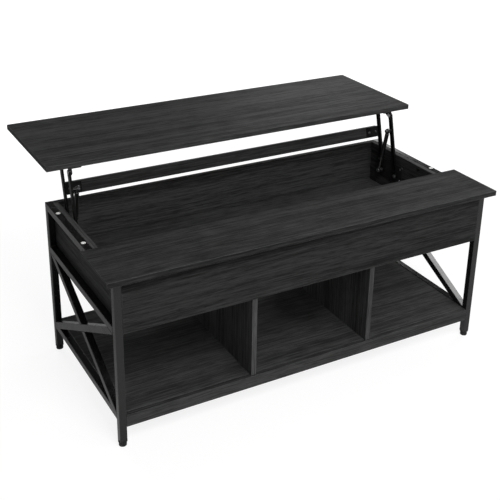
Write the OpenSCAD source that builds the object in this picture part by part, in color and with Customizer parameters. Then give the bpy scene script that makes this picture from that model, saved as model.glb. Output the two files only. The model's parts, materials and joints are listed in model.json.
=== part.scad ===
// Lift top coffee table: two steel side frames, a storage box under a hinged top, and an open shelf.
// The origin is on the floor, midway between the ends and midway between the front and rear edges
// with the top lifted. +X is to the right, +Y to the rear, +Z up. Lengths are in millimetres.

/* [Tops] */
// Length of both tops, end to end
top_w = 1200; // [1000:10:1400]
// Thickness of both tops
top_t = 15; // [12:1:22]
// Front-to-rear depth of the fixed front top
fixed_top_d = 187; // [150:1:220]
// Front-to-rear depth of the lifting top
lift_top_d = 379; // [340:1:440]
// Gap between the two tops when shut
top_gap = 2; // [1:0.5:4]
// Height of the fixed top's surface above the floor
table_h = 492; // [470:1:540]
// Overhang of the tops past the side frames
end_overhang = 23; // [10:1:40]
// Overhang of the tops past the front and rear of the frame
edge_overhang = 21; // [10:1:35]

/* [Side frames] */
// Outside width of the square steel tube
tube = 20; // [18:1:25]
// Wall of the square steel tube
tube_wall = 1.5; // [1:0.1:2.5]
// Outside corner radius of the tube
tube_round = 2; // [1:0.25:3]
// Height of the bottom rail's upper face
bottom_rail_top = 96; // [80:1:120]
// Free height of a foot under its post
foot_h = 14; // [12:1:20]

/* [Storage box and shelf] */
// Thickness of the panels, floor, shelf and dividers
panel_t = 15; // [12:1:18]
// Depth of the storage box below the tops
box_depth = 131; // [110:1:140]
// Height of the shelf's upper face
shelf_top = 94; // [86:1:96]
// Height of the shelf's front and rear edge boards
shelf_edge_h = 36; // [30:1:40]
// Distance from the shelf's front edge to the dividers
divider_setback = 3; // [0:0.5:10]

/* [Lift] */
// Rise of the lifting top from shut to open
lift_rise = 136; // [120:1:150]
// Rearward travel of the lifting top from shut to open
lift_reach = 239; // [220:1:250]
// Length of an arm between its pin centres
arm_len = 200; // [190:1:220]
// Distance between the front and rear pins of a side
arm_spacing = 68; // [62:1:76]
// Width of an arm
arm_w = 15; // [13:0.5:16]
// Depth of an arm's channel section
arm_d = 6; // [5:0.5:8]
// Thickness of the steel sheet in arms and brackets
sheet_t = 2.5; // [2:0.1:3]
// Radius of the pivot pins
pin_r = 4; // [3.5:0.1:4.5]
// Running clearance of a hole round its pin
pin_clear = 0.05; // [0.03:0.01:0.09]
// Radius of the pin heads
pin_head_r = 6.5; // [6:0.25:7]
// Drop of the upper pins below the lifting top
pin_drop = 15; // [14:0.5:18]
// Distance of the front upper pin behind the lifting top's front edge
pin_setback = 9; // [8.5:0.5:20]

/* [Cross board] */
// Width of the board that joins the rear arms, along the arm
cross_board_h = 35; // [30:1:40]
// Distance of the board's centre from the rear base pin, along the arm
cross_board_at = 129; // [115:1:140]
// Length of the steel plates at the ends of the board
board_plate_len = 48; // [40:1:60]

/* [Struts] */
// Distance of the strut's upper bolt from the front base pin, along the arm
strut_mount = 151; // [145:1:158]
// Radius of the strut's cylinder
strut_r = 6.5; // [6:0.25:7]
// Radius of the strut's rod
rod_r = 3.5; // [3:0.25:4]

/* [Fittings] */
// Radius of a rubber bumper
bumper_r = 8; // [6:0.5:9]
// Height of a rubber bumper
bumper_h = 1.7; // [1:0.1:3]
// Distance of the front bumpers behind the front of the frame
bumper_front = 235; // [210:1:260]
// Distance of the rear bumpers from the rear of the frame
bumper_rear = 88; // [60:1:120]
// Radius of a wood screw's shank
screw_r = 2; // [1.5:0.1:2.2]
// Length of a wood screw's shank
screw_len = 11; // [8:0.5:11.5]

/* [Hidden] */
$fn = 48;
LEFT = -1;
RIGHT = 1;

// Gap left between a piece and the seat it only rests on
seat_gap = 0.3;
// Gap between the flat faces of pieces that swing past each other
side_gap = 0.5;
// Overlap of a cutting shape past the faces it cuts
cut = 1;

// Frame, across
frame_half = top_w / 2 - end_overhang;
tube_in = frame_half - tube;
panel_in = tube_in - panel_t;
// Frame, front to rear, with 0 at the front face of the front posts
frame_d = fixed_top_d + top_gap + lift_top_d - 2 * edge_overhang;
lift_front_open = fixed_top_d - edge_overhang + top_gap + lift_reach;
open_depth = lift_front_open + lift_top_d + edge_overhang;
front_y = edge_overhang - open_depth / 2;
// Heights
rail_top = table_h - top_t;
shut_under = rail_top + bumper_h + seat_gap;
open_under = shut_under + lift_rise;
box_floor_top = rail_top - box_depth;
box_bottom = box_floor_top - panel_t;

// The four-bar lift: an arm's angle is measured from the front, so it grows as the top opens
chord = norm([lift_reach, lift_rise]);
half_swing = asin(chord / (2 * arm_len));
mid_angle = 90 - atan2(lift_rise, lift_reach);
open_angle = mid_angle + half_swing;
arm_lean = open_angle - 90;
swing = 2 * half_swing;
top_pin_y = lift_front_open + pin_setback;
top_pin_z = open_under - pin_drop;
base_y = top_pin_y + arm_len * cos(open_angle);
base_z = top_pin_z - arm_len * sin(open_angle);
rear_base_y = base_y + arm_spacing;

// Planes of the lift, measured across from the middle of the table
plate_in = panel_in - sheet_t;
arm_out = plate_in - side_gap;
arm_in = arm_out - arm_d;
web_out = arm_in - side_gap;
web_in = web_out - sheet_t;
eye_t = 6;
strut_x = web_in - sheet_t - strut_r;
eye_out = strut_x + eye_t / 2;
head_t = 2;

// The strut, from the rear base pin to the front arm
function strut_at(angle) = [-strut_mount * cos(angle) - arm_spacing, strut_mount * sin(angle)];
strut_open = strut_at(open_angle);
strut_shut = strut_at(open_angle - swing);
strut_len = norm(strut_open);
strut_stroke = norm(strut_shut) - strut_len;
strut_lean = atan2(-strut_open[0], strut_open[1]);
eye_r = 8;
strut_head = 12;
gland_len = 6;
piston_len = 5;
end_gap = 6;
strut_spare = 3;
strut_body_len = strut_stroke + strut_head + end_gap + piston_len + strut_spare + gland_len;
rod_len = strut_len - strut_head - end_gap;
bore_r = strut_r - sheet_t / 2;
// Radius of the strut's bolt head, of the spacer behind its eye and of the upper pins' riveted ends
spacer_r = pin_head_r - 1;

// Fixings
screw_head_r = 4;
bolt_r = 3;
bolt_head_r = 5.5;
bolt_head_t = sheet_t;
foot_r = 10.5;
foot_edge = 1.5;
flange_r = 12;
flange_t = 2;
stem_r = 4;
insert_h = 18;
stem_short = 2;
tab_len = 30;
bolt_inset = 60;
base_plate_front = 28;
base_plate_rear = 34;
base_plate_below = 20;
base_plate_above = 38;
base_plate_round = 6;
base_screw_inset = 9;
stop_r = 3.5;
stop_at = 26;
flange_in = 27;
flange_rear = 40;
web_strip = 6;
web_slope = 36;
board_play = 2;
board_screw_inset = 10;
board_plate_margin = 1;
rivet_inset = 3;

// ---- Helpers ----

// Moves a piece from the frame's front to its place over the origin
module placed() { translate([0, front_y, 0]) children(); }

// Draws a piece made for the right side on the given side
module on_side(side) { mirror([side == LEFT ? 1 : 0, 0, 0]) children(); }

// Solid block between two opposite corners
module block(low, high) { translate(low) cube(high - low); }

// Round bar along +X from one plane to another
module bar_x(x_low, x_high, r) {
    translate([x_low, 0, 0]) rotate([0, 90, 0]) cylinder(h = x_high - x_low, r = r);
}

// Flat shape drawn in (y, z), thickened along +X
module sheet_x(x_low, x_high) {
    translate([x_low, 0, 0]) rotate([90, 0, 90]) linear_extrude(x_high - x_low) children();
}

// Rectangle with round corners, centred
module round_rect(w, h, r) {
    square([w - 2 * r, h], center = true);
    square([w, h - 2 * r], center = true);
    for (x = [-1, 1], y = [-1, 1]) translate([x * (w / 2 - r), y * (h / 2 - r)]) circle(r = r);
}

// Square tube along +Z from z = 0, centred on the axis; a cap closes its upper end
module square_tube(length, cap = 0) {
    inside = tube - 2 * tube_wall;
    difference() {
        linear_extrude(length) round_rect(tube, tube, tube_round);
        translate([-inside / 2, -inside / 2, -cut])
            cube([inside, inside, length - cap + (cap > 0 ? cut : 2 * cut)]);
    }
}

// Wood screw along +Z through a sheet whose far face is at z = 0
module sheet_screw() {
    translate([0, 0, -sheet_t - head_t]) cylinder(h = head_t, r = screw_head_r);
    translate([0, 0, -sheet_t]) cylinder(h = screw_len + sheet_t, r = screw_r);
}

// Pilot hole for a screw along +Z
module pilot() {
    translate([0, 0, -cut]) cylinder(h = screw_len + seat_gap + cut, r = screw_r + pin_clear);
}

// Clearance hole through a sheet along +Z
module screw_hole() {
    translate([0, 0, -sheet_t - cut]) cylinder(h = sheet_t + 2 * cut, r = screw_r + pin_clear);
}

// ---- Side frames ----

post_x = frame_half - tube / 2;
rear_post_y = frame_d - tube / 2;

module post(side, y) {
    color([0.03, 0.03, 0.03])
    placed() translate([side * post_x, y, foot_h]) square_tube(rail_top - foot_h, tube_wall);
}

// Rail between the posts of one side, by the height of its upper face
module side_rail(side, upper) {
    color([0.03, 0.03, 0.03])
    placed() translate([side * post_x, tube, upper - tube / 2]) rotate([-90, 0, 0])
        square_tube(frame_d - 2 * tube);
}

module top_rail(side) {
    difference() {
        side_rail(side, rail_top);
        color([0.03, 0.03, 0.03]) placed() on_side(side) frame_bolt_places()
            bar_x(tube_in - cut, tube_in + tube_wall + cut, bolt_r + pin_clear);
    }
}

// Bottom rail with the welded tabs that carry the shelf
module bottom_rail(side) {
    side_rail(side, bottom_rail_top);
    color([0.03, 0.03, 0.03]) placed() on_side(side) for (y = tab_places)
        difference() {
            block([tube_in - tab_len, y - tab_len / 2, tab_z - sheet_t], [tube_in, y + tab_len / 2, tab_z]);
            translate([tube_in - tab_len / 2, y, tab_z]) screw_hole();
        }
}

tab_z = shelf_top - panel_t;
tab_places = [tube + 2 * tab_len, frame_d - tube - 2 * tab_len];

// Corners of the open window between the rails and posts of a side
window_low = bottom_rail_top;
window_high = box_floor_top - tube;
brace_run = frame_d - 2 * tube;
brace_rise = (window_high + tube / 2) - (window_low - tube / 2);
brace_angle = atan2(brace_rise, brace_run);

module window_box(side) {
    on_side(side) block([tube_in - cut, tube, window_low], [frame_half + cut, frame_d - tube, window_high]);
}

// Straight diagonal: rising to the front (dir = 1) or to the rear (dir = -1), hollow or solid
module diagonal(side, dir, hollow = true) {
    span = norm([brace_run, brace_rise]) + 4 * tube;
    translate([side * post_x, frame_d / 2, (window_low + window_high) / 2])
        rotate([90 - dir * brace_angle, 0, 0])
        translate([0, 0, -span / 2])
        if (hollow) square_tube(span);
        else translate([-tube, -tube / 2, 0]) cube([2 * tube, tube, span]);
}

module brace_long(side) {
    color([0.03, 0.03, 0.03]) placed() intersection() {
        diagonal(side, 1);
        window_box(side);
    }
}

// One half of the brace that the long one interrupts: the upper half is at the rear
module brace_half(side, upper) {
    y_mid = frame_d / 2;
    color([0.03, 0.03, 0.03]) placed() difference() {
        intersection() {
            diagonal(side, -1);
            window_box(side);
            on_side(side)
                block([0, upper ? y_mid : 0, 0], [frame_half + cut, upper ? frame_d : y_mid, rail_top]);
        }
        diagonal(side, 1, false);
    }
}

// ---- Boards ----

WOOD = [0.11, 0.11, 0.12];

module fixed_top() {
    color(WOOD) placed()
        block([-top_w / 2, -edge_overhang, rail_top], [top_w / 2, fixed_top_d - edge_overhang, table_h]);
}

module front_apron() {
    color(WOOD) placed() block([-tube_in, 0, box_bottom], [tube_in, panel_t, rail_top]);
}

module back_panel() {
    color(WOOD) placed() block([-tube_in, frame_d - panel_t, box_bottom], [tube_in, frame_d, rail_top]);
}

module side_panel(side) {
    color(WOOD) placed() on_side(side) difference() {
        block([panel_in, panel_t, box_bottom], [tube_in, frame_d - panel_t, rail_top]);
        frame_bolt_places() bar_x(panel_in - cut, tube_in + cut, bolt_r + pin_clear);
        base_screw_places() rotate([0, 90, 0]) translate([0, 0, panel_in]) pilot();
    }
}

module box_floor() {
    color(WOOD) placed()
        block([-panel_in, panel_t, box_bottom], [panel_in, frame_d - panel_t, box_floor_top]);
}

// The two dividers part the shelf into three equal bays
bay_w = (2 * tube_in - 2 * panel_t) / 3;

module divider(side) {
    color(WOOD) placed() on_side(side)
        block([bay_w / 2, divider_setback, shelf_top],
            [bay_w / 2 + panel_t, frame_d - divider_setback, box_bottom]);
}

module shelf() {
    color(WOOD) placed() difference() {
        block([-tube_in, panel_t, shelf_top - panel_t], [tube_in, frame_d - panel_t, shelf_top]);
        for (side = [LEFT, RIGHT]) on_side(side) shelf_screw_places() pilot();
    }
}

module shelf_edge(y) {
    color(WOOD) placed() block([-tube_in, y, shelf_top - shelf_edge_h], [tube_in, y + panel_t, shelf_top]);
}

// ---- Fittings of the frame ----

module frame_bolt_places() {
    for (y = [bolt_inset, frame_d / 2, frame_d - bolt_inset])
        translate([0, y, rail_top - tube / 2]) children();
}

module frame_bolts() {
    color([0.05, 0.05, 0.05]) placed() for (side = [LEFT, RIGHT]) on_side(side) frame_bolt_places() {
        bar_x(panel_in - bolt_head_t, panel_in, bolt_head_r);
        bar_x(panel_in, tube_in + tube_wall + head_t, bolt_r);
    }
}

module shelf_screw_places() {
    for (y = tab_places) translate([tube_in - tab_len / 2, y, tab_z]) children();
}

module shelf_screws() {
    color([0.7, 0.7, 0.72]) placed() for (side = [LEFT, RIGHT]) on_side(side)
        shelf_screw_places() sheet_screw();
}

module bumpers() {
    edge = bumper_h / 3;
    color([0.93, 0.93, 0.9]) placed() for (side = [LEFT, RIGHT], y = [bumper_front, frame_d - bumper_rear])
        translate([side * post_x, y, rail_top])
        rotate_extrude() polygon([[0, 0], [bumper_r, 0], [bumper_r, bumper_h - edge],
            [bumper_r - edge, bumper_h], [0, bumper_h]]);
}

module each_leg() {
    for (x = [-post_x, post_x], y = [tube / 2, rear_post_y]) translate([x, y, 0]) children();
}

module leg_inserts() {
    inside = tube - 2 * tube_wall - seat_gap;
    color([0.04, 0.04, 0.04]) placed() each_leg() difference() {
        translate([-inside / 2, -inside / 2, foot_h]) cube([inside, inside, insert_h]);
        translate([0, 0, foot_h - cut]) cylinder(h = insert_h + 2 * cut, r = stem_r + pin_clear);
    }
}

module foot(side, y) {
    color([0.04, 0.04, 0.04]) placed() translate([side * post_x, y, 0]) rotate_extrude() polygon([
        [0, 0], [foot_r - foot_edge, 0], [foot_r, foot_edge], [foot_r, foot_h - flange_t],
        [flange_r, foot_h - flange_t], [flange_r, foot_h], [stem_r, foot_h],
        [stem_r, foot_h + insert_h - stem_short], [0, foot_h + insert_h - stem_short]
    ]);
}

// ---- Lift: base brackets ----

base_plate_w = arm_spacing + base_plate_front + base_plate_rear;
base_plate_h = base_plate_below + base_plate_above;

// Centre of the base plate, from the front base pin
module base_plate_place() {
    translate([0, base_y - base_plate_front + base_plate_w / 2, base_z - base_plate_below + base_plate_h / 2])
        children();
}

module base_screw_places() {
    base_plate_place() for (y = [-1, 1], z = [-1, 1])
        translate([0, y * (base_plate_w / 2 - base_screw_inset), z * (base_plate_h / 2 - base_screw_inset)])
            children();
}

// Countersunk hole along +X through the base plate
module countersink() {
    bar_x(plate_in - cut, plate_in, screw_head_r + pin_clear);
    screw_cone(pin_clear);
    bar_x(plate_in, panel_in + cut, screw_r + pin_clear);
}

// Cone under a countersunk head flush with the base plate, wider all round by the gap
module screw_cone(gap) {
    translate([plate_in, 0, 0]) rotate([0, 90, 0])
        cylinder(h = head_t, r1 = screw_head_r + gap, r2 = screw_r + gap);
}

// Puts a piece on an arm: +Z along the arm from its base pin, +Y to the arm's rear side
module on_arm(y) { translate([0, y, base_z]) rotate([-arm_lean, 0, 0]) children(); }

module base_bracket(side) {
    color([0.04, 0.04, 0.04]) placed() on_side(side) {
        difference() {
            base_plate_place() sheet_x(plate_in, panel_in)
                round_rect(base_plate_w, base_plate_h, base_plate_round);
            for (y = [base_y, rear_base_y]) translate([0, y, base_z])
                bar_x(plate_in - cut, panel_in + cut, pin_r + pin_clear);
            base_screw_places() countersink();
        }
        // Stop stud behind the rear arm when the top is open
        on_arm(rear_base_y) translate([0, arm_w / 2 + seat_gap + stop_r, stop_at])
            bar_x(arm_in + side_gap, plate_in + seat_gap, stop_r);
    }
}

module base_bracket_screws() {
    color([0.7, 0.7, 0.72]) placed() for (side = [LEFT, RIGHT]) on_side(side) base_screw_places() {
        screw_cone(0);
        bar_x(plate_in, panel_in + screw_len, screw_r);
    }
}

// Front pins end at the arm; rear pins go on to carry the strut's eye
module base_pins() {
    color([0.75, 0.75, 0.77]) placed() for (side = [LEFT, RIGHT]) on_side(side) {
        translate([0, base_y, base_z]) {
            bar_x(arm_in - seat_gap, panel_in, pin_r);
            bar_x(arm_in - seat_gap - head_t, arm_in - seat_gap, pin_head_r);
        }
        translate([0, rear_base_y, base_z]) {
            bar_x(eye_out - eye_t - seat_gap, panel_in, pin_r);
            bar_x(eye_out + seat_gap, arm_in - seat_gap, pin_head_r);
            bar_x(eye_out - eye_t - seat_gap - head_t, eye_out - eye_t - seat_gap, pin_head_r);
        }
    }
}

// ---- Lift: arms ----

module arm_outline() {
    for (z = [0, arm_len]) translate([0, z]) circle(r = arm_w / 2);
    translate([-arm_w / 2, 0]) square([arm_w, arm_len]);
}

// Channel-section arm with solid ends; "solid" is the reach of a solid place along it
module arm(solid, solid_r) {
    difference() {
        sheet_x(arm_in, arm_out) arm_outline();
        for (z = [0, arm_len]) translate([0, 0, z]) bar_x(arm_in - cut, arm_out + cut, pin_r + pin_clear);
        sheet_x(arm_in - cut, arm_out - sheet_t) difference() {
            translate([-(arm_w / 2 - sheet_t), arm_w]) square([arm_w - 2 * sheet_t, arm_len - 2 * arm_w]);
            translate([-arm_w / 2, solid - solid_r]) square([arm_w, 2 * solid_r]);
        }
    }
}

module rear_arm(side) {
    color([0.04, 0.04, 0.04]) placed() on_side(side) on_arm(rear_base_y)
        arm(cross_board_at, cross_board_h / 2);
}

module front_arm(side) {
    color([0.04, 0.04, 0.04]) placed() on_side(side) on_arm(base_y) {
        arm(strut_mount, eye_r);
        translate([0, 0, strut_mount]) bar_x(eye_out + side_gap, arm_in + seat_gap, spacer_r);
    }
}

// ---- Lift: cross board ----

board_front = board_play;
board_rear = board_play + panel_t;
board_end = arm_in - sheet_t - seat_gap;
board_screws_x = [arm_in - sheet_t - board_screw_inset, arm_in - board_plate_len + board_screw_inset];

module cross_board() {
    low = cross_board_at - cross_board_h / 2;
    color(WOOD) placed() on_arm(rear_base_y) difference() {
        block([-board_end, board_front, low], [board_end, board_rear, low + cross_board_h]);
        for (side = [LEFT, RIGHT]) on_side(side) board_screw_places() pilot();
    }
}

module board_screw_places() {
    for (x = board_screws_x) translate([x, board_front, cross_board_at]) rotate([-90, 0, 0]) children();
}

// Bent plate: a tab on the arm's inner face and a long leg over the board's front
module board_bracket(side) {
    leg_h = cross_board_h - 2 * board_plate_margin;
    low = cross_board_at - leg_h / 2;
    color([0.04, 0.04, 0.04]) placed() on_side(side) on_arm(rear_base_y) difference() {
        union() {
            block([arm_in - sheet_t, board_front - sheet_t, low], [arm_in, arm_w / 2, low + leg_h]);
            block([arm_in - board_plate_len, board_front - sheet_t, low], [arm_in, board_front, low + leg_h]);
        }
        board_screw_places() screw_hole();
        rivet_places() bar_x(arm_in - sheet_t - cut, arm_in + cut, screw_r + pin_clear);
    }
}

module rivet_places() {
    for (dz = [-1, 1]) translate([0, board_front + rivet_inset, cross_board_at + dz * cross_board_h / 4])
        children();
}

module board_rivets() {
    color([0.75, 0.75, 0.77]) placed() for (side = [LEFT, RIGHT]) on_side(side) on_arm(rear_base_y)
        rivet_places() bar_x(arm_in - sheet_t, arm_in, screw_r);
}

module board_screws() {
    color([0.7, 0.7, 0.72]) placed() for (side = [LEFT, RIGHT]) on_side(side) on_arm(rear_base_y)
        board_screw_places() sheet_screw();
}

// ---- Lifting top ----

module lift_top() {
    color(WOOD) placed() difference() {
        block([-top_w / 2, lift_front_open, open_under],
            [top_w / 2, lift_front_open + lift_top_d, open_under + top_t]);
        for (side = [LEFT, RIGHT]) on_side(side) top_screw_places() pilot();
    }
}

module top_screw_places() {
    for (dy = [base_screw_inset, arm_spacing + flange_rear - 2 * base_screw_inset])
        translate([web_in - flange_in / 2, top_pin_y + dy, open_under]) children();
}

// Angle bracket: a flange under the top and a web with an ear at each upper pin
module top_bracket(side) {
    ear_r = pin_setback - seat_gap;
    color([0.04, 0.04, 0.04]) placed() on_side(side) difference() {
        union() {
            block([web_in - flange_in, top_pin_y - ear_r, open_under - sheet_t],
                [web_out, top_pin_y + arm_spacing + flange_rear, open_under]);
            translate([0, top_pin_y, top_pin_z]) sheet_x(web_in, web_out) {
                circle(r = ear_r);
                translate([arm_spacing, 0]) circle(r = ear_r);
                polygon([[-ear_r, 0], [0, -ear_r], [web_slope, pin_drop - web_strip],
                    [arm_spacing - ear_r, pin_drop - web_strip], [arm_spacing - ear_r, 0],
                    [arm_spacing + ear_r, 0], [arm_spacing + flange_rear, pin_drop - web_strip / 2],
                    [arm_spacing + flange_rear, pin_drop], [-ear_r, pin_drop]]);
            }
        }
        for (y = [0, arm_spacing]) translate([0, top_pin_y + y, top_pin_z])
            bar_x(web_in - cut, web_out + cut, pin_r + pin_clear);
        top_screw_places() screw_hole();
    }
}

module top_pins() {
    color([0.75, 0.75, 0.77]) placed() for (side = [LEFT, RIGHT], y = [0, arm_spacing])
        on_side(side) translate([0, top_pin_y + y, top_pin_z]) {
            bar_x(web_in - head_t, web_in, pin_head_r);
            bar_x(web_in, arm_out + seat_gap, pin_r);
            bar_x(arm_out + seat_gap, arm_out + seat_gap + head_t / 2, spacer_r);
        }
}

module top_bracket_screws() {
    color([0.7, 0.7, 0.72]) placed() for (side = [LEFT, RIGHT]) on_side(side)
        top_screw_places() sheet_screw();
}

// ---- Struts ----

// The rod and the cylinder begin clear of the round heads beside their eyes
rod_start = pin_head_r + seat_gap;
body_start = spacer_r + seat_gap;

// Puts a piece on the strut: +Z along it from the rear base pin
module on_strut() { translate([strut_x, rear_base_y, base_z]) rotate([strut_lean, 0, 0]) children(); }

module strut_rod(side) {
    color([0.8, 0.8, 0.82]) placed() on_side(side) on_strut() {
        difference() {
            union() {
                bar_x(-eye_t / 2, eye_t / 2, eye_r);
                translate([0, 0, rod_start]) cylinder(h = rod_len - rod_start, r = rod_r);
            }
            bar_x(-eye_t, eye_t, pin_r + pin_clear);
        }
        translate([0, 0, rod_len - piston_len]) cylinder(h = piston_len, r = bore_r - pin_clear);
    }
}

module strut_body(side) {
    color([0.05, 0.05, 0.05]) placed() on_side(side) on_strut() translate([0, 0, strut_len]) difference() {
        union() {
            bar_x(-eye_t / 2, eye_t / 2, eye_r);
            translate([0, 0, -strut_body_len]) cylinder(h = strut_body_len - body_start, r = strut_r);
        }
        bar_x(-eye_t, eye_t, pin_r + pin_clear);
        translate([0, 0, gland_len - strut_body_len])
            cylinder(h = strut_body_len - gland_len - strut_head, r = bore_r);
        translate([0, 0, -strut_body_len - cut]) cylinder(h = gland_len + 2 * cut, r = rod_r + pin_clear);
    }
}

// Bolt in the strut's upper eye, against the spacer on the front arm
module strut_bolt(side) {
    color([0.75, 0.75, 0.77]) placed() on_side(side) on_strut() translate([0, 0, strut_len]) {
        bar_x(-eye_t / 2, eye_t / 2, pin_r);
        bar_x(-strut_r - head_t, -eye_t / 2, spacer_r);
    }
}

post(LEFT, tube / 2);  // post_front_left
post(RIGHT, tube / 2);  // post_front_right
post(LEFT, rear_post_y);  // post_rear_left
post(RIGHT, rear_post_y);  // post_rear_right
top_rail(LEFT);  // top_rail_left
top_rail(RIGHT);  // top_rail_right
side_rail(LEFT, box_floor_top);  // middle_rail_left
side_rail(RIGHT, box_floor_top);  // middle_rail_right
bottom_rail(LEFT);  // bottom_rail_left
bottom_rail(RIGHT);  // bottom_rail_right
brace_long(LEFT);  // brace_long_left
brace_long(RIGHT);  // brace_long_right
brace_half(LEFT, true);  // brace_upper_left
brace_half(RIGHT, true);  // brace_upper_right
brace_half(LEFT, false);  // brace_lower_left
brace_half(RIGHT, false);  // brace_lower_right
fixed_top();
front_apron();
side_panel(LEFT);  // side_panel_left
side_panel(RIGHT);  // side_panel_right
back_panel();
box_floor();
divider(LEFT);  // divider_left
divider(RIGHT);  // divider_right
shelf();
shelf_edge(0);  // shelf_front_edge
shelf_edge(frame_d - panel_t);  // shelf_rear_edge
bumpers();
leg_inserts();
foot(LEFT, tube / 2);  // foot_front_left
foot(RIGHT, tube / 2);  // foot_front_right
foot(LEFT, rear_post_y);  // foot_rear_left
foot(RIGHT, rear_post_y);  // foot_rear_right
frame_bolts();
shelf_screws();
base_bracket(LEFT);  // base_bracket_left
base_bracket(RIGHT);  // base_bracket_right
base_pins();
base_bracket_screws();
rear_arm(LEFT);  // rear_arm_left
rear_arm(RIGHT);  // rear_arm_right
cross_board();
board_bracket(LEFT);  // board_bracket_left
board_bracket(RIGHT);  // board_bracket_right
board_screws();
board_rivets();
front_arm(LEFT);  // front_arm_left
front_arm(RIGHT);  // front_arm_right
lift_top();
top_bracket(LEFT);  // top_bracket_left
top_bracket(RIGHT);  // top_bracket_right
top_pins();
top_bracket_screws();
strut_rod(LEFT);  // strut_rod_left
strut_rod(RIGHT);  // strut_rod_right
strut_body(LEFT);  // strut_body_left
strut_body(RIGHT);  // strut_body_right
strut_bolt(LEFT);  // strut_bolt_left
strut_bolt(RIGHT);  // strut_bolt_right
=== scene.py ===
# Lift top coffee table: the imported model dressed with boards, fittings, finishes, floor, lamps and camera.
import json
import math

import bpy
import numpy as np
from mathutils import Matrix, Vector


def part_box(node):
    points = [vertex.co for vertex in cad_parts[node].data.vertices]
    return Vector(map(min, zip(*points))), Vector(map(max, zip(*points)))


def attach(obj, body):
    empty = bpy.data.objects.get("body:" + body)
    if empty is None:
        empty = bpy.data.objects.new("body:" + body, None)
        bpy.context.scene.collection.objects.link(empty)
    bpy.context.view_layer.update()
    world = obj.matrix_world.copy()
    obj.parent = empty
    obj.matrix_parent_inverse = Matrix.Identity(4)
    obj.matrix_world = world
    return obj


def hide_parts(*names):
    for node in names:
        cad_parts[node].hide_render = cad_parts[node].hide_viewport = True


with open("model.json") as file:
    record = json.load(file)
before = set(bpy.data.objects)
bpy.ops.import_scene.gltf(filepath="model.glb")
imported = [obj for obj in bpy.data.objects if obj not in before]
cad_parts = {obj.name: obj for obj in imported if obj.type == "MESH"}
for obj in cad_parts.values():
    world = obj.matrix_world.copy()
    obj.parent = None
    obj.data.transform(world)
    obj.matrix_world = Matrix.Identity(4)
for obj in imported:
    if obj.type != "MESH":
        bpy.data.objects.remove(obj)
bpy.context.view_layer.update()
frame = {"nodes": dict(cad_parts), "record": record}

MM = 0.001
slot_of = {part["node"]: part["material_slot"] for part in frame["record"]["subparts"]}


# ---------------------------------------------------------------- shapes
# A shape is (corners, faces, directions): an n x 3 array, an m x 4 array of corner numbers in which a
# three-cornered face repeats a number, and the outward direction at each corner, or None.

SAME_CORNER, SAME_CAD_CORNER = MM / 1e4, MM / 100    # corners closer than this are one


def grid_faces(rows, columns, around=True):
    """Faces between neighbouring rows and columns of a grid; around joins the last column to the first."""
    row = np.arange(rows - 1)[:, None]
    column = np.arange(columns if around else columns - 1)[None, :]
    beside = (column + 1) % columns
    corners = (row * columns + column, row * columns + beside,
               (row + 1) * columns + beside, (row + 1) * columns + column)
    return np.stack(corners, -1).reshape(-1, 4)


def quarter_turn(count):
    """Angles from 0 to a right angle, in equal steps."""
    return np.linspace(0, math.pi / 2, count)


def full_turn(count):
    """Angles round a circle, in equal steps, without the last, which would meet the first."""
    return np.linspace(0, 2 * math.pi, count, endpoint=False)


def rounded_block(low, high, r):
    """A board with rounded edges. A direction (cos lean cos turn, cos lean sin turn, sin lean) sweeps each
    eighth of a ball, and a corner is the nearest corner of the inner block plus r times that direction.
    The directions at the ends of each quarter are repeated, so the flats stay flat."""
    count = 4    # directions across each quarter
    low, high = np.array(low, float), np.array(high, float)
    centre, half = (low + high) / 2, (high - low) / 2
    quarter = quarter_turn(count)
    turn = (quarter + np.arange(4)[:, None] * math.pi / 2).ravel()
    lean = np.concatenate((quarter - math.pi / 2, quarter))
    lean, turn = np.meshgrid(lean, turn, indexing="ij")
    way = np.stack((np.cos(lean) * np.cos(turn), np.cos(lean) * np.sin(turn), np.sin(lean)), -1)
    middle = (np.arange(4)[:, None] * math.pi / 2 + quarter.mean()).repeat(count, 1).ravel()
    side = np.stack(np.broadcast_arrays(np.sign(np.cos(middle))[None, :], np.sign(np.sin(middle))[None, :],
                                        np.repeat((-1.0, 1.0), count)[:, None]), -1)
    corners = (centre + side * (half - r) + r * way).reshape(-1, 3)
    rows, columns = lean.shape
    lid = np.arange(4) * count
    faces = np.vstack((grid_faces(rows, columns), lid[::-1], lid + (rows - 1) * columns))
    return corners, faces, way.reshape(-1, 3)


def turned(profile, around):
    """A profile of (radius, height) points turned round Z in a number of steps: (r cos t, r sin t, h). It
    goes from radius 0 to radius 0, or back to its first point, and up along the outside, so that the faces
    point outwards and the shape is closed."""
    profile = np.array(profile, float)
    t = full_turn(around)
    r, h = profile[:, :1], profile[:, 1:]
    corners = np.stack((r * np.cos(t), r * np.sin(t), h + 0 * t), -1).reshape(-1, 3)
    return corners, grid_faces(len(profile), around), None


def stood(shape, place, axis=(0, 0, 1)):
    """A shape made about Z, turned so that Z lies along an axis, and moved to its place."""
    corners, faces, ways = shape
    turn = np.array(Vector((0, 0, 1)).rotation_difference(Vector(axis)).to_matrix())
    return corners @ turn.T + np.array(place), faces, None if ways is None else ways @ turn.T


def joined(shapes):
    """Several shapes as one list of corners and faces, without directions."""
    starts = np.cumsum([0] + [len(s[0]) for s in shapes[:-1]])
    corners = np.vstack([s[0] for s in shapes])
    faces = np.vstack([s[1] + start for s, start in zip(shapes, starts)])
    return corners, faces, None


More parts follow.
